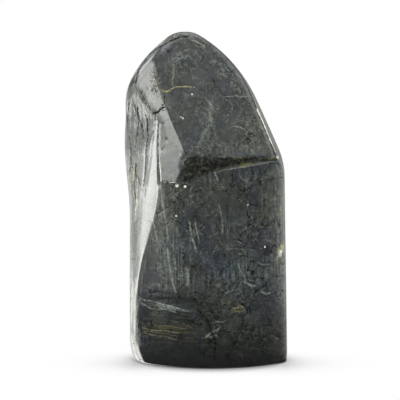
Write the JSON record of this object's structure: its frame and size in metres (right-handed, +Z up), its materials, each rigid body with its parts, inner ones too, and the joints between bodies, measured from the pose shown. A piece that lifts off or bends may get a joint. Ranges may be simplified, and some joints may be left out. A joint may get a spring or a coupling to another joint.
{
  "type": "polished labradorite",
  "caption": "Free-standing polished labradorite: a tall faceted stone on a flat base, with a leaning upper face, a rough ledge and a flashing dark body.",
  "frame": {"origin": "middle of the stone's outline, at the flat base it stands on", "axes": "+Z up along the stone's height, -Y out of its broad front face, +X to the right seen from the front"},
  "size_m": [0.0751, 0.0492, 0.1491],
  "materials": {
    "polished_labradorite": "polished dark grey-green stone with gold, olive and blue flashes, fine cracks and a rough unpolished ledge"
  },
  "bodies": {
    "root": {"labradorite": "polished_labradorite"}
  },
  "joints": []
}
